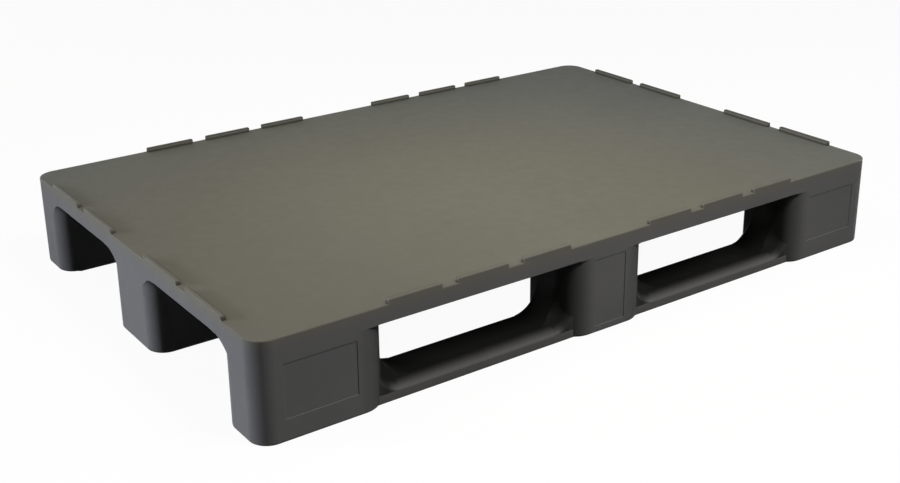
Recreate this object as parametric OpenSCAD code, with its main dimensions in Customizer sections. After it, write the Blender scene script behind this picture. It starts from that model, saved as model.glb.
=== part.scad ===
// Closed-deck plastic pallet on three runners, with nine hollow feet and raised edge stops.
// Millimetres, +Z up, +X along the long side. The origin is on the floor, at the middle.

/* [Overall] */
// Length of the pallet, along X
pallet_l = 1200; // [1000:10:1500]
// Width of the pallet, along Y
pallet_w = 800; // [660:10:1000]
// Height of the load face above the floor
deck_z = 153; // [127:0.5:185]
// Rounding of the pallet's upright corners and of the row ends
corner_r = 30; // [20:1:36]

/* [Deck] */
// Depth of the deck's outer edge, from the load face down
edge_h = 26.5; // [22:0.5:32]
// Thickness of the deck's outer edge
edge_t = 6; // [5:0.5:8]
// Thickness of the closed load face
skin_t = 4.5; // [3:0.5:6]
// Thickness of the plate that closes the deck from below
under_t = 4; // [3:0.5:5]
// Gap all round between the closing plate and the deck's edge
under_gap = 0.3; // [0.2:0.1:1]
// Spacing of the ribs under the load face
rib_pitch = 60; // [50:5:80]
// Thickness of those ribs
rib_t = 3; // [2:0.5:4]

/* [Edge stops] */
// Height of the stops above the load face
stop_h = 7; // [4:0.5:9]
// Thickness of a stop
stop_t = 8; // [6:0.5:12]
// Length of a stop on the long sides
long_stop_l = 88; // [70:1:95]
// Length of a stop on the short sides
short_stop_l = 112; // [90:1:120]
// Gap between neighbouring stops
stop_gap = 27; // [20:1:35]

/* [Rows and feet] */
// Width of the two outer rows
outer_row_w = 100; // [90:1:125]
// Width of the centre row
centre_row_w = 148; // [120:1:180]
// Length of the feet at the row ends
end_foot_l = 204; // [170:1:240]
// Length of the feet at mid length
mid_foot_l = 158; // [130:1:200]
// Wall of a foot
foot_wall = 5; // [4:0.5:7]
// Rounding that guides the forks past the outer corners of a side opening
lead_r = 40; // [25:1:45]
// Rounding of the feet's other upright corners
inner_r = 8; // [4:1:12]
// Radius of the arch between a foot and the deck
arch_r = 21; // [12:1:25]
// Thickness of the inner webs of a foot
web_t = 4; // [3:0.5:6]
// Thickness of the lip that closes a foot's bottom up to its runner
lip_t = 4; // [3:0.5:6]

/* [Foot to deck joint] */
// Thickness of the flange on top of a foot
flange_t = 4; // [3:0.5:6]
// How far the spigot stands inside the foot's outline
spigot_inset = 12; // [10:1:16]
// Wall of the spigot
spigot_wall = 4; // [3:0.5:5]
// Height of the spigot above the flange
spigot_h = 12; // [8:1:14]
// Gap all round between a spigot and what it passes through
spigot_gap = 0.5; // [0.3:0.1:1]

/* [Label recesses] */
// Width of the recess on the end feet
label_w = 111; // [80:1:120]
// Width of the recess on the middle feet
mid_label_w = 60; // [40:1:70]
// Height of the end recesses above the floor
label_z = 34; // [20:1:40]
// Distance from the end recesses up to the deck
label_drop = 12; // [4:1:30]
// Height of the middle recesses above the floor
mid_label_z = 12; // [8:1:30]
// Distance from the middle recesses up to the deck
mid_label_drop = 4; // [4:1:30]
// Depth of a recess
label_d = 1.2; // [0.6:0.1:2]

/* [Runners] */
// Height of a runner
runner_h = 27; // [22:1:33]
// How far a runner's face stands behind the faces of its feet
runner_inset = 9; // [8:0.5:14]
// Bevel along a runner's upper edges
runner_bevel = 13; // [5:1:15]
// Wall of a runner
runner_wall = 4; // [3:0.5:5]
// Gap between a runner and the feet that stand over it
runner_gap = 0.3; // [0.2:0.1:0.6]
// Radius of the rise from a runner to a foot
rise_r = 48; // [30:1:58]
// Radius of that rise on the pallet's outside
face_rise_r = 44; // [42:1:56]
// How far the outside rise reaches from the foot
face_rise_l = 24; // [18:1:27]
// Thickness at which the tip of a rise or an arch ends
tip_t = 0.3; // [0.2:0.1:0.6]
// Thickness of the sole plate that closes a runner from below
sole_t = 5; // [3:0.5:6]
// Gap all round between a sole plate and its runner
sole_gap = 0.3; // [0.2:0.1:0.6]

/* [Steel bars] */
// Width of a bar
bar_w = 40; // [30:1:40]
// Space left above a bar
bar_headroom = 2; // [1.5:0.5:4]
// Wall of a bar
bar_t = 1.5; // [1:0.1:2.5]
// Distance from the end of a bar to the end of the pallet
bar_end = 25; // [20:1:60]
// Gap between a bar and the ribs that it passes
bar_gap = 1; // [0.5:0.1:2]

/* [Hidden] */

$fn = 96;
eps = 1;                 // how far a cut runs past a face
bite = 2;                // how far a rise or an arch reaches into the wall behind it

under_z = deck_z - edge_h;          // lower edge of the deck and top of the feet
plate_top = under_z + under_t;
skin_z = deck_z - skin_t;
window_l = (pallet_l - 2 * end_foot_l - mid_foot_l) / 2;
channel_w = (pallet_w - 2 * outer_row_w - centre_row_w) / 2;
window_x = (mid_foot_l + window_l) / 2;
channel_y = (centre_row_w + channel_w) / 2;
outer_row_y = (pallet_w - outer_row_w) / 2;
low_edge_z = runner_h - runner_bevel;        // where a runner's upright face ends
bar_l = pallet_l - 2 * bar_end;
deck_bar_h = skin_z - plate_top - bar_headroom;
runner_bar_h = runner_h - runner_wall - sole_t - bar_headroom;
deck_bar_y = [2.5 * rib_pitch, 3.5 * rib_pitch];
half_bevel = 2 - sqrt(2);                    // how much a bevel shrinks inside a wall

plastic_deck = [0.42, 0.41, 0.37];
plastic_foot = [0.30, 0.30, 0.31];
plastic_runner = [0.31, 0.31, 0.29];
plastic_inner = [0.24, 0.24, 0.25];
zinc = [0.66, 0.67, 0.68];

// ---- outlines ------------------------------------------------------------------------------

// Rectangle from p to q with radii r = [low x low y, high x low y, high x high y, low x high y]
module outline(p, q, r, inset = 0) {
    corners = [
        [p[0] + inset, p[1] + inset, 1, 1],
        [q[0] - inset, p[1] + inset, -1, 1],
        [q[0] - inset, q[1] - inset, -1, -1],
        [p[0] + inset, q[1] - inset, 1, -1]
    ];
    difference() {
        translate([p[0] + inset, p[1] + inset])
            square([q[0] - p[0] - 2 * inset, q[1] - p[1] - 2 * inset]);
        for (i = [0:3]) {
            k = corners[i];
            radius = max(r[i] - inset, 0.5);
            translate([k[0], k[1]]) mirror([k[2] < 0 ? 1 : 0, 0]) mirror([0, k[3] < 0 ? 1 : 0])
                difference() {
                    translate([-eps, -eps]) square(radius + eps);
                    translate([radius, radius]) circle(radius);
                }
        }
    }
}

module pallet_outline(inset = 0) {
    outline([-pallet_l / 2, -pallet_w / 2], [pallet_l / 2, pallet_w / 2],
            [corner_r, corner_r, corner_r, corner_r], inset);
}

// The four kinds of foot stand at low X and low Y; the others are their mirror images.
// at_end: the foot closes a row's end. outer: the foot stands in an outer row.
function foot_low(at_end, outer) = [
    at_end ? -pallet_l / 2 : -mid_foot_l / 2,
    outer ? -pallet_w / 2 : -centre_row_w / 2];
function foot_high(at_end, outer) = [
    at_end ? end_foot_l - pallet_l / 2 : mid_foot_l / 2,
    outer ? outer_row_w - pallet_w / 2 : centre_row_w / 2];
function foot_radii(at_end, outer) = [
    at_end ? corner_r : outer ? lead_r : inner_r,
    outer ? lead_r : inner_r,
    inner_r,
    at_end ? corner_r : inner_r];

module foot_outline(at_end, outer, inset = 0) {
    outline(foot_low(at_end, outer), foot_high(at_end, outer), foot_radii(at_end, outer), inset);
}

// Draws its children at each of the nine feet
module at_each_foot() {
    for (mx = [0, 1], my = [0, 1]) mirror([mx, 0]) mirror([0, my]) children(0);
    for (my = [0, 1]) mirror([0, my]) children(1);
    for (mx = [0, 1]) mirror([mx, 0]) children(2);
    children(3);
}

module all_spigots(inset) {
    at_each_foot() {
        foot_outline(true, true, inset);
        foot_outline(false, true, inset);
        foot_outline(true, false, inset);
        foot_outline(false, false, inset);
    }
}

// ---- deck ----------------------------------------------------------------------------------

module stop(length) {
    translate([-length / 2, 0, skin_z]) cube([length, stop_t, deck_z + stop_h - skin_z]);
}

module edge_stops() {
    long_step = long_stop_l + stop_gap;
    short_step = short_stop_l + stop_gap;
    for (side = [0, 1], along = [-1, 1]) {
        for (i = [-1:1]) mirror([0, side, 0])
            translate([along * window_x + i * long_step, -pallet_w / 2, 0]) stop(long_stop_l);
        for (i = [-0.5, 0.5]) mirror([side, 0, 0])
            translate([-pallet_l / 2, along * channel_y + i * short_step, 0])
                rotate([0, 0, -90]) stop(short_stop_l);
    }
}

module deck_ribs() {
    across = floor((pallet_l / 2 - edge_t) / rib_pitch);
    along = floor((pallet_w / 2 - edge_t) / rib_pitch);
    height = skin_z - plate_top;
    for (i = [-across:across])
        translate([i * rib_pitch - rib_t / 2, eps - pallet_w / 2, plate_top])
            cube([rib_t, pallet_w - 2 * eps, height + eps]);
    for (i = [-along:along])
        translate([eps - pallet_l / 2, i * rib_pitch - rib_t / 2, plate_top])
            cube([pallet_l - 2 * eps, rib_t, height + eps]);
}

module bar_space(y, z, height) {
    translate([-bar_l / 2 - bar_gap, y - bar_w / 2 - bar_gap, z - eps])
        cube([bar_l + 2 * bar_gap, bar_w + 2 * bar_gap, height + bar_gap + eps]);
}

module deck_top() {
    color(plastic_deck) {
        difference() {
            translate([0, 0, under_z]) linear_extrude(edge_h) pallet_outline();
            translate([0, 0, under_z - eps])
                linear_extrude(edge_h - skin_t + eps) pallet_outline(edge_t);
        }
        difference() {
            intersection() {
                deck_ribs();
                translate([0, 0, plate_top]) linear_extrude(edge_h)
                    pallet_outline(edge_t / 2);
            }
            translate([0, 0, plate_top - eps])
                linear_extrude(under_z + spigot_h - plate_top + eps + spigot_gap)
                    all_spigots(spigot_inset - spigot_gap);
            for (y = deck_bar_y, side = [-1, 1]) bar_space(side * y, plate_top, deck_bar_h);
        }
        edge_stops();
    }
}

module deck_underside() {
    color(plastic_inner) translate([0, 0, under_z]) linear_extrude(under_t) difference() {
        pallet_outline(edge_t + under_gap);
        all_spigots(spigot_inset - spigot_gap);
    }
}

// ---- feet ----------------------------------------------------------------------------------

// Section of a concave blend: across from the wall, up from the corner's own height
module blend_section(radius, depth) {
    reach = radius - sqrt(2 * radius * tip_t - tip_t * tip_t);
    difference() {
        translate([-bite, -depth]) square([bite + reach, radius + depth]);
        translate([radius, radius]) circle(radius);
    }
}

// Rise at the foot's window side, which wraps round the outer corner
module rise(side_x, row_low, row_high, outer) {
    face = row_low + runner_inset;
    back = row_high - runner_inset;
    start = outer ? row_low + lead_r : face;
    intersection() {
        union() {
            translate([side_x, back, runner_h]) rotate([90, 0, 0])
                linear_extrude(back - start) blend_section(rise_r, runner_bevel);
            if (outer) translate([side_x - lead_r, start, runner_h]) rotate([0, 0, -90])
                rotate_extrude(angle = 90) translate([lead_r, 0])
                    blend_section(rise_r, runner_bevel);
        }
        translate([side_x - 2 * lead_r, face, 0])
            cube([2 * lead_r + rise_r, back - face, runner_h + rise_r]);
        difference() {
            translate([side_x - 2 * lead_r, face, 0])
                cube([2 * lead_r + rise_r, back - face, runner_h + rise_r]);
            rise_bevel(side_x, face, outer);
            mirror([0, 1, 0]) rise_bevel(side_x, -back, false);
        }
    }
}

// Cone that bevels the edge of a rise, narrowing away from the runner's face. On the pallet's
// outside it also clears the space above the cone's axis and the space beyond it on the runner.
module rise_bevel(side_x, face, outer) {
    radius = outer ? face_rise_r : rise_r + runner_bevel;
    centre_x = side_x + (outer ? face_rise_l : rise_r);
    translate([centre_x, face - eps, low_edge_z + radius]) {
        rotate([-90, 0, 0]) cylinder(h = radius, r1 = radius + eps, r2 = eps);
        if (outer) {
            linear_extrude(rise_r)
                polygon([[-radius - eps, 0], [0, 0], [0, radius], [-eps, radius]]);
            rotate([90, 0, 90]) linear_extrude(rise_r)
                polygon([[0, -radius - eps], [radius, -eps], [radius, rise_r], [0, rise_r]]);
        }
    }
}

// Arch at the foot's channel side, which wraps round the row's end
module arch(low, high, at_end) {
    start = at_end ? low[0] + corner_r : low[0];
    mirror([0, 0, 1]) translate([0, 0, -under_z]) intersection() {
        union() {
            translate([start, high[1], 0]) rotate([90, 0, 90])
                linear_extrude(high[0] - start) blend_section(arch_r, 0);
            if (at_end) translate([start, high[1] - corner_r, 0]) rotate([0, 0, 90])
                rotate_extrude(angle = 90) translate([corner_r, 0]) blend_section(arch_r, 0);
        }
        translate([low[0], high[1] - corner_r, 0])
            cube([high[0] - low[0], corner_r + arch_r, arch_r]);
    }
}

// Section of a runner; grow widens it for the space that a foot leaves for it
module runner_section(row_w, grow = 0) {
    half = row_w / 2 - runner_inset + grow;
    polygon([[-half, 0], [half, 0], [half, low_edge_z],
             [half - runner_bevel, runner_h], [runner_bevel - half, runner_h],
             [-half, low_edge_z]]);
}

// Space inside a row that lies a given distance in from the feet's outer faces
module row_space(row_w, inset) {
    translate([0, 0, -eps]) linear_extrude(runner_h + 2 * eps)
        outline([-pallet_l / 2, -row_w / 2], [pallet_l / 2, row_w / 2],
                [corner_r, corner_r, corner_r, corner_r], inset);
}

// The runner's outer shape, and with grow the space that its feet leave for it
module runner_shape(row_w, grow = 0) {
    intersection() {
        translate([-pallet_l / 2, 0, 0]) rotate([90, 0, 90]) linear_extrude(pallet_l)
            runner_section(row_w, grow);
        row_space(row_w, foot_wall + runner_gap - grow);
    }
}

module foot(at_end, outer) {
    low = foot_low(at_end, outer);
    high = foot_high(at_end, outer);
    row_w = high[1] - low[1];
    row_y = (high[1] + low[1]) / 2;
    mid_x = (high[0] + low[0]) / 2;
    color(plastic_foot) difference() {
        union() {
            linear_extrude(under_z) difference() {
                foot_outline(at_end, outer);
                foot_outline(at_end, outer, foot_wall);
            }
            translate([0, 0, under_z - flange_t]) linear_extrude(flange_t) difference() {
                foot_outline(at_end, outer);
                foot_outline(at_end, outer, spigot_inset + spigot_wall);
            }
            translate([0, 0, under_z - flange_t]) linear_extrude(flange_t + spigot_h)
                difference() {
                    foot_outline(at_end, outer, spigot_inset);
                    foot_outline(at_end, outer, spigot_inset + spigot_wall);
                }
            linear_extrude(lip_t) difference() {
                foot_outline(at_end, outer);
                foot_outline(at_end, outer, runner_inset + foot_wall);
            }
            foot_webs(low, high, row_y, mid_x);
            rise(high[0], low[1], high[1], outer);
            if (!at_end) mirror([1, 0, 0]) rise(high[0], low[1], high[1], outer);
            arch(low, high, at_end);
            if (!outer) mirror([0, 1, 0]) arch(low, high, at_end);
        }
        translate([0, row_y, 0]) runner_shape(row_w, runner_gap);
        translate([0, row_y, -runner_h]) runner_shape(row_w, runner_gap);
        if (outer) label_recess(low, high, at_end);
    }
}

module foot_webs(low, high, row_y, mid_x) {
    height = under_z - runner_h;
    translate([low[0] + bite, row_y - web_t / 2, runner_h])
        cube([high[0] - low[0] - 2 * bite, web_t, height - eps]);
    translate([mid_x - web_t / 2, low[1] + bite, runner_h])
        cube([web_t, high[1] - low[1] - 2 * bite, height - eps]);
}

module label_recess(low, high, at_end) {
    width = at_end ? label_w : mid_label_w;
    bottom = at_end ? label_z : mid_label_z;
    top = under_z - (at_end ? label_drop : mid_label_drop);
    flat_low = low[0] + (at_end ? corner_r : lead_r);
    centre = (flat_low + high[0] - lead_r) / 2;
    translate([centre - width / 2, low[1] - eps, bottom])
        cube([width, label_d + eps, top - bottom]);
}

// ---- runners, soles and bars ---------------------------------------------------------------

module runner(row_y, row_w) {
    half = row_w / 2 - runner_inset - runner_wall;
    bevel = runner_bevel - half_bevel * runner_wall;
    top = runner_h - runner_wall;
    ribs = floor((pallet_l / 2 - foot_wall) / rib_pitch);
    color(plastic_runner) translate([0, row_y, 0]) difference() {
        runner_shape(row_w);
        difference() {
            intersection() {
                translate([-pallet_l / 2, 0, 0]) rotate([90, 0, 90]) linear_extrude(pallet_l)
                    polygon([[-half, -eps], [half, -eps], [half, top - bevel],
                             [half - bevel, top], [bevel - half, top], [-half, top - bevel]]);
                row_space(row_w, foot_wall + runner_gap + runner_wall);
            }
            for (i = [-ribs:ribs])
                translate([i * rib_pitch - rib_t / 2, -row_w / 2, sole_t])
                    cube([rib_t, row_w, runner_h]);
        }
        bar_space(0, sole_t, runner_bar_h);
    }
}

module sole(row_y, row_w) {
    width = row_w - 2 * (runner_inset + runner_wall + sole_gap);
    color(plastic_inner) translate([0, row_y, 0]) intersection() {
        translate([-pallet_l / 2, -width / 2, 0]) cube([pallet_l, width, sole_t]);
        row_space(row_w, foot_wall + runner_gap + runner_wall + sole_gap);
    }
}

module bar(y, z, height) {
    color(zinc) translate([-bar_l / 2, y - bar_w / 2, z]) difference() {
        cube([bar_l, bar_w, height]);
        translate([-eps, bar_t, bar_t])
            cube([bar_l + 2 * eps, bar_w - 2 * bar_t, height - 2 * bar_t]);
    }
}

module runner_bar(row_y) {
    bar(row_y, sole_t, runner_bar_h);
}

module deck_bar(y) {
    bar(y, plate_top, deck_bar_h);
}

// ---- the pallet ----------------------------------------------------------------------------

deck_top();
deck_underside();

foot(true, true);  // foot_front_left
foot(false, true);  // foot_front_middle
mirror([1, 0, 0]) foot(true, true);  // foot_front_right
foot(true, false);  // foot_centre_left
foot(false, false);  // foot_centre_middle
mirror([1, 0, 0]) foot(true, false);  // foot_centre_right
mirror([0, 1, 0]) foot(true, true);  // foot_rear_left
mirror([0, 1, 0]) foot(false, true);  // foot_rear_middle
mirror([1, 0, 0]) mirror([0, 1, 0]) foot(true, true);  // foot_rear_right

runner(-outer_row_y, outer_row_w);  // runner_front
runner(0, centre_row_w);  // runner_centre
runner(outer_row_y, outer_row_w);  // runner_rear
sole(-outer_row_y, outer_row_w);  // sole_front
sole(0, centre_row_w);  // sole_centre
sole(outer_row_y, outer_row_w);  // sole_rear

runner_bar(-outer_row_y);  // runner_bar_front
runner_bar(0);  // runner_bar_centre
runner_bar(outer_row_y);  // runner_bar_rear
deck_bar(-deck_bar_y[1]);  // deck_bar_outer_front
deck_bar(-deck_bar_y[0]);  // deck_bar_inner_front
deck_bar(deck_bar_y[0]);  // deck_bar_inner_rear
deck_bar(deck_bar_y[1]);  // deck_bar_outer_rear
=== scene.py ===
import math

import bmesh
import bpy
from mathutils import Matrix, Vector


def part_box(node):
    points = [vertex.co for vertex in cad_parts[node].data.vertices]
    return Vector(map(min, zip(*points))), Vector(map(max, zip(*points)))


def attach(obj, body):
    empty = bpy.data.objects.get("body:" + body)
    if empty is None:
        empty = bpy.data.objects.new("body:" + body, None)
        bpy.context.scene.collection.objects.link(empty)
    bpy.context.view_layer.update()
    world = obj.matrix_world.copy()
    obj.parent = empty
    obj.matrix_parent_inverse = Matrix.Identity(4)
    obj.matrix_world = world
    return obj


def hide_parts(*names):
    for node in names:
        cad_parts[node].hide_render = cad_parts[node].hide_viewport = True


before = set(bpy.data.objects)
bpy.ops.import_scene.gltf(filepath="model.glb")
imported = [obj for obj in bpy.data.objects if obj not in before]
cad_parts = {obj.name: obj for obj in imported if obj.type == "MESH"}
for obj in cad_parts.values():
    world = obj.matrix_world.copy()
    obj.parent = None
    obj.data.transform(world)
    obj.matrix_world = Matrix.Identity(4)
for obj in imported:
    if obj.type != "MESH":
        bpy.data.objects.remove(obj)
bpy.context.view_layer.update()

# ---- Camera ----------------------------------------------------------------------------------
# It stands a metre and a half from the pallet's near left corner, 0.9 m above the floor, and
# looks down on the deck. The lens is dropped a little, so that the uprights lean less.

camera_data = bpy.data.cameras.new("camera")
camera_data.sensor_width = 36
camera_data.lens = 52.7605
camera_data.shift_y = -0.05
camera = bpy.data.objects.new("camera", camera_data)
camera.location = (-1.2478, -1.7495, 0.9035)
camera.rotation_euler = [math.radians(angle) for angle in (69.4159, 0.5987, -35.4433)]
bpy.context.scene.collection.objects.link(camera)
bpy.context.scene.camera = camera

# ---- Studio ----------------------------------------------------------------------------------
# A white sweep with five softboxes: a warm one close over the deck, a cool one far off on the
# left, a strong one high up in front, and faint ones on the right and at the back.


def camera_sees(tree, *rays):
    """A socket that is 1 for the kinds of ray named, and 0 for the light that lands on things."""
    path = tree.nodes.new("ShaderNodeLightPath")
    seen = path.outputs[rays[0]]
    for ray in rays[1:]:
        either = tree.nodes.new("ShaderNodeMath")
        either.operation = "MAXIMUM"
        tree.links.new(seen, either.inputs[0])
        tree.links.new(path.outputs[ray], either.inputs[1])
        seen = either.outputs[0]
    return seen


def white_sweep():
    """White to the eye, with a little of the real shade left on it, but nearly black to the
    light that bounces off it, so that it doesn't light the pallet from below."""
    sweep = bpy.data.materials.new("white_sweep")
    sweep.use_nodes = True
    tree = sweep.node_tree
    tree.nodes.clear()
    output = tree.nodes.new("ShaderNodeOutputMaterial")
    bounce = tree.nodes.new("ShaderNodeBsdfDiffuse")
    bounce.inputs["Color"].default_value = (0.06, 0.06, 0.06, 1)
    shaded = tree.nodes.new("ShaderNodeBsdfDiffuse")
    shaded.inputs["Color"].default_value = (0.9, 0.9, 0.9, 1)
    glow = tree.nodes.new("ShaderNodeEmission")
    glow.inputs["Strength"].default_value = 1
    seen_white = tree.nodes.new("ShaderNodeMixShader")
    seen_white.inputs["Fac"].default_value = 0.95
    tree.links.new(shaded.outputs[0], seen_white.inputs[1])
    tree.links.new(glow.outputs[0], seen_white.inputs[2])
    chosen = tree.nodes.new("ShaderNodeMixShader")
    seen = camera_sees(tree, "Is Camera Ray", "Is Glossy Ray", "Is Transmission Ray")
    tree.links.new(seen, chosen.inputs["Fac"])
    tree.links.new(bounce.outputs[0], chosen.inputs[1])
    tree.links.new(seen_white.outputs[0], chosen.inputs[2])
    tree.links.new(chosen.outputs[0], output.inputs["Surface"])
    return sweep


bpy.ops.object.select_all(action="DESELECT")
bpy.ops.mesh.primitive_plane_add(size=16, location=(0, 0, 0))
floor = bpy.context.object
floor.name = "floor"
floor.data.materials.append(white_sweep())

world = bpy.data.worlds.new("studio")
bpy.context.scene.world = world
world.use_nodes = True
tree = world.node_tree
tree.nodes.clear()
backdrop = tree.nodes.new("ShaderNodeBackground")
backdrop.inputs["Color"].default_value = (1, 1, 1, 1)
backdrop.inputs["Strength"].default_value = 1
fill = tree.nodes.new("ShaderNodeBackground")
fill.inputs["Color"].default_value = (0.86, 0.92, 1, 1)
fill.inputs["Strength"].default_value = 0.012
chosen = tree.nodes.new("ShaderNodeMixShader")
seen = camera_sees(tree, "Is Camera Ray", "Is Glossy Ray", "Is Transmission Ray")
tree.links.new(seen, chosen.inputs["Fac"])
tree.links.new(fill.outputs[0], chosen.inputs[1])
tree.links.new(backdrop.outputs[0], chosen.inputs[2])
tree.links.new(chosen.outputs[0], tree.nodes.new("ShaderNodeOutputWorld").inputs["Surface"])


def softbox(name, place, aim, size, power, colour, spread=180):
    """A square area lamp at place that faces aim: its side in metres, its power in watts, and
    its beam's width in degrees."""
    light = bpy.data.lights.new(name, "AREA")
    light.size = size
    light.energy = power
    light.color = colour
    light.spread = math.radians(spread)
    lamp = bpy.data.objects.new(name, light)
    lamp.location = place
    towards = Vector(aim) - Vector(place)
    lamp.rotation_euler = towards.to_track_quat("-Z", "Y").to_euler()
    bpy.context.scene.collection.objects.link(lamp)


softbox("overhead_softbox", (0.00, -0.14, 0.90), (0.00, -0.12, 0.15), 0.5, 3.9, (1, 0.97, 0.90))
softbox("left_softbox", (-4.20, 2.12, 1.00), (-0.72, -0.30, 0.10), 0.6, 10.4, (0.87, 0.90, 1), 40)
softbox("front_softbox", (0.25, -1.60, 2.35), (0.05, -0.30, 0.10), 0.8, 54, (1, 0.98, 0.96))
softbox("right_softbox", (4.60, -0.25, 0.70), (0.60, -0.05, 0.10), 1.0, 5, (1, 0.98, 0.95), 40)
softbox("back_softbox", (-1.00, 4.30, 0.70), (-0.05, 0.40, 0.10), 1.0, 8, (1, 0.98, 0.95), 50)
bpy.context.scene.view_settings.view_transform = "Standard"

# ---- Deck ------------------------------------------------------------------------------------
# The deck's skin, edge and stops are one injection moulding in recycled polyethylene: dark
# grey, satin, slightly clouded and finely grained. Olive dust lies on it, and loads have
# scratched it. Painted light lies on it too: a painted highlight along its top edge, a painted
# reflection that greys it away from its near middle, and painted shade along the stops' inner
# edges and in the corners they make with the deck. The edges of its outline and of its stops
# have a small radius.


def welded_copy(node, name):
    """The CAD node's mesh as a new piece, with its triangles welded and its flat faces joined."""
    piece = bpy.data.objects.new(name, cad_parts[node].data.copy())
    bpy.context.scene.collection.objects.link(piece)
    bpy.ops.object.select_all(action="DESELECT")
    piece.select_set(True)
    bpy.context.view_layer.objects.active = piece
    bpy.ops.object.mode_set(mode="EDIT")
    bpy.ops.mesh.select_all(action="SELECT")
    bpy.ops.mesh.customdata_custom_splitnormals_clear()
    bpy.ops.mesh.remove_doubles(threshold=0.00001)
    bpy.ops.mesh.dissolve_limited(angle_limit=math.radians(1))
    bpy.ops.object.mode_set(mode="OBJECT")
    piece.data.materials.clear()
    return piece


def round_edges(piece, radius, segments, wanted):
    """Rounds the edges that wanted(middle, along, side, turn) picks: the edge's middle, its
    direction, the normal of the steeper of its two faces, and the angle between them in degrees,
    above 0 where the edge points outwards."""
    bpy.ops.object.mode_set(mode="EDIT")
    bpy.ops.mesh.select_mode(type="EDGE")
    bpy.ops.mesh.select_all(action="DESELECT")
    mesh = bmesh.from_edit_mesh(piece.data)
    for edge in mesh.edges:
        if len(edge.link_faces) == 2:
            start, end = (vertex.co for vertex in edge.verts)
            side = min((face.normal for face in edge.link_faces), key=lambda n: abs(n.z))
            turn = math.degrees(edge.calc_face_angle_signed(0))
            if wanted((start + end) / 2, (end - start).normalized(), side, turn):
                edge.select_set(True)
    bmesh.update_edit_mesh(piece.data)
    bpy.ops.mesh.bevel(
        offset=radius, segments=segments, profile=0.5, affect="EDGES", clamp_overlap=False)
    bpy.ops.object.mode_set(mode="OBJECT")


def cut_across(piece, axis, places):
    """Cuts the faces of piece at each place along an axis, so that edges can end there."""
    bpy.ops.object.mode_set(mode="EDIT")
    normal = [1 if i == axis else 0 for i in range(3)]
    for place in places:
        bpy.ops.mesh.select_all(action="SELECT")
        bpy.ops.mesh.bisect(plane_co=[place * n for n in normal], plane_no=normal)
    bpy.ops.object.mode_set(mode="OBJECT")


def smoothed(piece):
    """Shades curves smooth and keeps flat faces flat."""
    bpy.ops.object.select_all(action="DESELECT")
    piece.select_set(True)
    bpy.context.view_layer.objects.active = piece
    bpy.ops.object.shade_smooth_by_angle(angle=math.radians(35))
    bpy.ops.object.modifier_add(type="WEIGHTED_NORMAL")
    piece.modifiers[-1].keep_sharp = True
    bpy.ops.object.modifier_apply(modifier=piece.modifiers[-1].name)


def mixed(tree, factor, first, second):
    """A colour that turns from first to second as the factor goes from 0 to 1."""
    mix = tree.nodes.new("ShaderNodeMix")
    mix.data_type = "RGBA"
    for socket, value in ((mix.inputs["Factor"], factor), (mix.inputs["A"], first),
                          (mix.inputs["B"], second)):
        if isinstance(value, bpy.types.NodeSocket):
            tree.links.new(value, socket)
        elif isinstance(value, tuple):
            socket.default_value = (*value, 1)
        else:
            socket.default_value = value
    return mix.outputs["Result"]


def noise(tree, place, scale, detail=3.0, roughness=0.5):
    """A noise socket on the piece's own coordinates, in features per metre."""
    texture = tree.nodes.new("ShaderNodeTexNoise")
    texture.inputs["Scale"].default_value = scale
    texture.inputs["Detail"].default_value = detail
    texture.inputs["Roughness"].default_value = roughness
    tree.links.new(place, texture.inputs["Vector"])
    return texture.outputs["Fac"]


def band(tree, value, low, high, out_low=0.0, out_high=1.0):
    """value stretched from low..high to out_low..out_high and held at the ends."""
    node = tree.nodes.new("ShaderNodeMapRange")
    node.interpolation_type = "SMOOTHSTEP"
    tree.links.new(value, node.inputs["Value"])
    for name, number in (("From Min", low), ("From Max", high), ("To Min", out_low),
                         ("To Max", out_high)):
        node.inputs[name].default_value = number
    return node.outputs["Result"]


def product(tree, first, second):
    """Two sockets or numbers multiplied."""
    node = tree.nodes.new("ShaderNodeMath")
    node.operation = "MULTIPLY"
    for socket, value in zip(node.inputs, (first, second)):
        if isinstance(value, bpy.types.NodeSocket):
            tree.links.new(value, socket)
        else:
            socket.default_value = value
    return node.outputs[0]


def bumped(tree, height, depth, strength, under=None):
    """A normal socket from a height, on top of another normal."""
    bump = tree.nodes.new("ShaderNodeBump")
    bump.inputs["Distance"].default_value = depth
    bump.inputs["Strength"].default_value = strength
    tree.links.new(height, bump.inputs["Height"])
    if under:
        tree.links.new(under, bump.inputs["Normal"])
    return bump.outputs["Normal"]


def moulded_plastic(name, colour, soiling_and_painted_light=None):
    """Moulded polyethylene in a colour, softly clouded, speckled and finely grained.
    soiled(tree, place, tint) may lay dust, scratches, painted light and painted shade over
    the polymer's tint."""
    material = bpy.data.materials.new(name)
    material.use_nodes = True
    tree = material.node_tree
    shader = tree.nodes["Principled BSDF"]
    shader.inputs["Specular IOR Level"].default_value = 0.06
    place = tree.nodes.new("ShaderNodeTexCoord").outputs["Object"]
    clouds = band(tree, noise(tree, place, 6, 4, 0.5), 0.3, 0.7)
    tint = mixed(tree, clouds, tuple(c * 0.95 for c in colour), tuple(c * 1.05 for c in colour))
    specks = band(tree, noise(tree, place, 260, 2, 0.5), 0.62, 0.78, 0, 0.25)
    tint = mixed(tree, specks, tint, tuple(c * 1.5 for c in colour))
    if soiling_and_painted_light:
        tint = soiling_and_painted_light(tree, place, tint)
    tree.links.new(tint, shader.inputs["Base Color"])
    rough = band(tree, noise(tree, place, 45, 4, 0.6), 0.3, 0.7, 0.62, 0.74)
    tree.links.new(rough, shader.inputs["Roughness"])
    waves = bumped(tree, noise(tree, place, 6, 2), 0.0010, 0.15)
    grain = bumped(tree, noise(tree, place, 1300, 3, 0.6), 0.00010, 0.3, waves)
    tree.links.new(grain, shader.inputs["Normal"])
    return material


def split(tree, vector, axis):
    """One coordinate of a vector socket."""
    node = tree.nodes.new("ShaderNodeSeparateXYZ")
    tree.links.new(vector, node.inputs[0])
    return node.outputs[axis]


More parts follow.
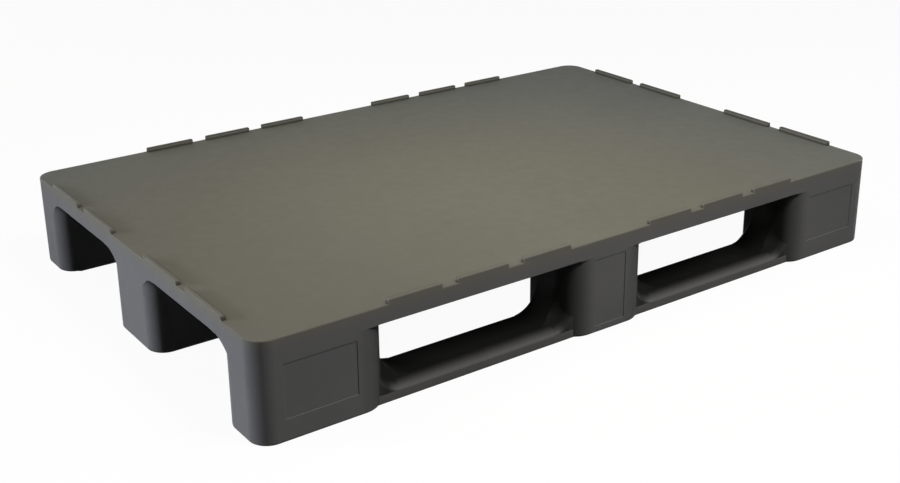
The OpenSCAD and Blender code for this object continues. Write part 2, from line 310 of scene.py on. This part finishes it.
def away(tree, value, centre):
    """How far a value is from a centre, on either side."""
    aside = tree.nodes.new("ShaderNodeMath")
    aside.operation = "SUBTRACT"
    tree.links.new(value, aside.inputs[0])
    aside.inputs[1].default_value = centre
    across = tree.nodes.new("ShaderNodeMath")
    across.operation = "ABSOLUTE"
    tree.links.new(aside.outputs[0], across.inputs[0])
    return across.outputs[0]


def streaks(tree, place, turn, spacing):
    """Thin scratches along one direction in degrees, with gaps between them, and spacing
    scratches to the metre."""
    mapping = tree.nodes.new("ShaderNodeMapping")
    mapping.inputs["Rotation"].default_value = (0, 0, math.radians(turn))
    mapping.inputs["Scale"].default_value = (spacing * 0.02, spacing, spacing)
    tree.links.new(place, mapping.inputs["Vector"])
    return band(tree, noise(tree, mapping.outputs["Vector"], 1, 2), 0.66, 0.72)


def deck_dust_and_painted_light(tree, place, tint):
    """Olive dust on the upper faces, and faint scratches where loads have slid. Painted over it: a
    painted reflection that turns the dust greyer and bluer away from its middle, a painted
    highlight that makes the upright faces lighter and yellower towards the top edge, painted
    shade along the stops' rounded inner edges, and painted shade in the corners that the stops
    make with the deck."""
    # Only the dust is the deck's own colour. The others are painted light: a greyer reflection, a
    # lighter, yellower highlight, and two dark shades.
    dust, reflection_grey, corner_shade = (0.107, 0.103, 0.081), (0.0985, 0.102, 0.093), (0.012, 0.012, 0.010)
    highlight_yellow, inner_edge_dark = (0.168, 0.162, 0.132), (0.045, 0.044, 0.038)
    normal = tree.nodes.new("ShaderNodeNewGeometry").outputs["Normal"]
    upward = band(tree, split(tree, normal, "Z"), 0.5, 0.98)
    height = split(tree, place, "Z")

    # Painted highlight: the upright faces turn lighter and yellower over their top 18 mm, and the
    # stops' upright faces with them.
    edge_highlight = band(tree, height, deck_z - 0.018, deck_z, 0, 0.8)
    tint = mixed(tree, edge_highlight, tint, highlight_yellow)

    # Painted reflection: the dust turns greyer and bluer away from the deck's near middle.
    from_middle = tree.nodes.new("ShaderNodeVectorMath")
    from_middle.operation = "DISTANCE"
    tree.links.new(place, from_middle.inputs[0])
    from_middle.inputs[1].default_value = (-0.25, -0.35, deck_z)
    far_reflection = band(tree, from_middle.outputs["Value"], 0.45, 0.95)
    patchy = band(tree, noise(tree, place, 4, 4, 0.5), 0.25, 0.75, 0.88, 1)
    tint = mixed(tree, product(tree, upward, patchy), tint, mixed(tree, far_reflection, dust, reflection_grey))

    for turn, spacing in ((17, 420), (-38, 510)):
        where = product(tree, upward, band(tree, noise(tree, place, 9, 3), 0.5, 0.75, 0, 0.25))
        scratches = product(tree, streaks(tree, place, turn, spacing), where)
        tint = mixed(tree, scratches, tint, tuple(c * 1.4 for c in dust))

    # Painted shade: the stops' rounded inner edges are darkened.
    inner_edge_shade = product(tree, band(tree, split(tree, normal, "Z"), 0.1, 0.6),
                    band(tree, height, deck_z + 0.001, deck_z + 0.003))
    for axis, reach in (("X", deck_high.x), ("Y", deck_high.y)):
        inner = band(tree, away(tree, split(tree, place, axis), 0),
                     reach - 0.0070, reach - 0.0045, 1, 0)
        inner_edge_shade = product(tree, inner_edge_shade, inner)
    tint = mixed(tree, inner_edge_shade, tint, inner_edge_dark)

    # Painted shade: the corners that the stops make with the deck are darkened by occlusion.
    corners = tree.nodes.new("ShaderNodeAmbientOcclusion")
    corners.samples = 8
    corners.only_local = True
    corners.inputs["Distance"].default_value = 0.010
    return mixed(tree, band(tree, corners.outputs["AO"], 0.45, 0.95, 0.85, 0), tint, corner_shade)


def on_outline(point):
    """True on the deck's four upright faces and their rounded corners."""
    reach_x, reach_y = deck_high.x - abs(point.x), deck_high.y - abs(point.y)
    if reach_x < corner and reach_y < corner:
        return abs(math.hypot(corner - reach_x, corner - reach_y) - corner) < hair * 2
    return reach_x < hair or reach_y < hair


deck_low, deck_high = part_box("deck_top")
stop_height = 0.007
deck_z = deck_high.z - stop_height
corner = 0.030                      # radius of the pallet's upright corners
hair = 0.0002                       # how near counts as touching
dark_grey = (0.155, 0.155, 0.155)

# The deck's lower edge is free between these distances from the middle of a side: over the
# windows of the long sides, and over the channels of the short sides.
window_span = (0.060, 0.415)
channel_span = (0.093, 0.281)

deck = welded_copy("deck_top", "deck_moulding")
for axis, (near, far) in enumerate((window_span, channel_span)):
    cut_across(deck, axis, (-far, -near, near, far))
round_edges(deck, 0.0018, 3, lambda middle, along, side, turn:
            turn > 60 and middle.z > deck_z - hair
            and (on_outline(middle) or middle.z > deck_z + 0.002))
round_edges(deck, 0.0015, 2, lambda middle, along, side, turn:
            turn > 60 and abs(middle.z - deck_low.z) < hair and on_outline(middle)
            and (window_span[0] < abs(middle.x) < window_span[1]
                 or channel_span[0] < abs(middle.y) < channel_span[1]))
deck.data.materials.append(moulded_plastic("deck_polyethylene", dark_grey, deck_dust_and_painted_light))
smoothed(deck)
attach(deck, "root")
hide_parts("deck_top")

# ---- Closing plates --------------------------------------------------------------------------
# A flat plate is welded under the deck, and a narrow one under each runner. They are the same
# polymer as the deck, plain and matt, and seen only from below.

plate_plastic = moulded_plastic("plate_polyethylene", (0.09, 0.09, 0.09))
for node in ("deck_underside", "sole_front", "sole_centre", "sole_rear"):
    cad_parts[node].data.materials.clear()
    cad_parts[node].data.materials.append(plate_plastic)

# ---- Feet ------------------------------------------------------------------------------------
# Nine hollow injection mouldings in dark grey polyethylene, welded up under the deck so closely
# that no joint shows. Their lower edges are rounded, and the outer rows have a shallow recess
# for a label, left bare. Inside the windows, where shade falls under the deck, they are painted
# black, and painted shade thins out around the windows' rounded flanks.


def window_shade(tree, place, tint, low, high, reach):
    """Painted shade: black in the windows of a row, under the deck where shade falls. low and high
    are the corners of the row's runner, and reach is how far past its long edges the painted shade
    fades out."""
    edge, fade = (high.y - low.y) / 2, 0.014
    inside = band(tree, away(tree, split(tree, place, "Y"), (low.y + high.y) / 2),
                  edge + reach - fade, edge + reach, 1, 0)
    in_window = band(tree, away(tree, split(tree, place, "X"), 0), 0.44, 0.49, 1, 0)
    height = tree.nodes.new("ShaderNodeMath")
    tree.links.new(split(tree, place, "Z"), height.inputs[0])
    tree.links.new(band(tree, noise(tree, place, 30, 3, 0.6), 0.2, 0.8, -0.005, 0.005),
                   height.inputs[1])
    low_down = band(tree, height.outputs[0], 0.100, 0.170, 1, 0)
    in_shade = product(tree, product(tree, inside, in_window), low_down)
    return mixed(tree, in_shade, tint, shade_black)


def shaded_flanks(tree, place, tint):
    """Painted shade that thins out around the feet's rounded flanks, away from the windows. The
    rises down to the runners stay free of it."""
    from_window = away(tree, away(tree, split(tree, place, "X"), 0), window_x)
    past_rise = band(tree, from_window, 0.140, 0.160)
    flank_shade = product(tree, past_rise, band(tree, from_window, 0.158, 0.215, 0.82, 0))
    return mixed(tree, flank_shade, tint, shade_black)


# Black painted in as shade: in the windows and on the feet's flanks.
shade_black = (0.006, 0.006, 0.0055)
window_x = 0.2375                   # middle of a window, from the pallet's middle
label_depth = 0.0012
label_top = (0.100, 0.124)          # the recess's upper wall lies between these heights
label_slope = 0.0035                # and slopes down into it by this much
for row in ("front", "centre", "rear"):
    runner_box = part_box(f"runner_{row}")
    # Each foot's plastic carries painted shade in the windows and on its flanks.
    foot_plastic = moulded_plastic(f"foot_{row}_polyethylene", dark_grey,
                                   lambda tree, place, tint: window_shade(
                                       tree, place, shaded_flanks(tree, place, tint),
                                       *runner_box, 0.003))
    for place in ("left", "middle", "right"):
        node = f"foot_{row}_{place}"
        low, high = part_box(node)
        centre = (low + high) / 2
        foot = welded_copy(node, node + "_moulding")
        round_edges(foot, 0.004, 4, lambda middle, along, side, turn:
                    turn > 60 and middle.z < hair and side.xy.dot((middle - centre).xy) > 0
                    and max(abs(middle.x - centre.x) / (high.x - low.x),
                            abs(middle.y - centre.y) / (high.y - low.y)) > 0.4)
        bpy.ops.object.mode_set(mode="EDIT")
        bpy.ops.mesh.select_mode(type="VERT")
        bpy.ops.mesh.select_all(action="DESELECT")
        mesh = bmesh.from_edit_mesh(foot.data)
        for vertex in mesh.verts:
            recessed = abs(abs(vertex.co.y) - deck_high.y + label_depth) < hair
            vertex.select_set(recessed and label_top[0] < vertex.co.z < label_top[1])
        bmesh.update_edit_mesh(foot.data)
        bpy.ops.transform.translate(value=(0, 0, -label_slope))
        bpy.ops.object.mode_set(mode="OBJECT")
        round_edges(foot, 0.0006, 2, lambda middle, along, side, turn:
                    turn > 15 and 0.006 < middle.z < label_top[1]
                    and abs(abs(middle.y) - deck_high.y) < hair
                    and max(abs(along.x), abs(along.z)) > 0.99)
        foot.data.materials.append(foot_plastic)
        smoothed(foot)
        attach(foot, "root")
        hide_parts(node)

# ---- Runners ---------------------------------------------------------------------------------
# Three hollow mouldings in grey polyethylene that run the length of the pallet, welded on under
# the feet. Their upper edges are bevelled for the forks' rollers, and their long edges are eased.

for node in ("runner_front", "runner_centre", "runner_rear"):
    low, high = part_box(node)
    # The runner's plastic is painted black inside the windows, where shade falls under the deck.
    runner_plastic = moulded_plastic(f"{node}_polyethylene", (0.130, 0.130, 0.124),
                                     lambda tree, place, tint: window_shade(
                                         tree, place, tint, low, high, 0.001))
    runner = welded_copy(node, node + "_moulding")
    round_edges(runner, 0.002, 3, lambda middle, along, side, turn:
                turn > 30 and abs(along.x) > 0.99
                and (min(middle.y - low.y, high.y - middle.y) < hair
                     or middle.z > high.z - hair))
    runner.data.materials.append(runner_plastic)
    smoothed(runner)
    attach(runner, "root")
    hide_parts(node)

# ---- Steel bars ------------------------------------------------------------------------------
# Seven zinc-plated steel box sections, four in the deck and one in each runner, are laid in
# before the plates are welded on. Nothing of them shows on the finished pallet.

zinc = bpy.data.materials.new("zinc_plate")
zinc.use_nodes = True
tree = zinc.node_tree
shader = tree.nodes["Principled BSDF"]
shader.inputs["Metallic"].default_value = 1
place = tree.nodes.new("ShaderNodeTexCoord").outputs["Object"]
spangle = tree.nodes.new("ShaderNodeTexVoronoi")
spangle.inputs["Scale"].default_value = 180
tree.links.new(place, spangle.inputs["Vector"])
spangled = mixed(tree, spangle.outputs["Distance"], (0.62, 0.63, 0.64), (0.5, 0.51, 0.53))
tree.links.new(spangled, shader.inputs["Base Color"])
tree.links.new(band(tree, noise(tree, place, 90), 0.3, 0.7, 0.3, 0.45), shader.inputs["Roughness"])
tree.links.new(bumped(tree, noise(tree, place, 600), 0.0001, 0.3), shader.inputs["Normal"])
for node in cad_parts:
    if "_bar_" in node:
        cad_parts[node].data.materials.clear()
        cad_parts[node].data.materials.append(zinc)
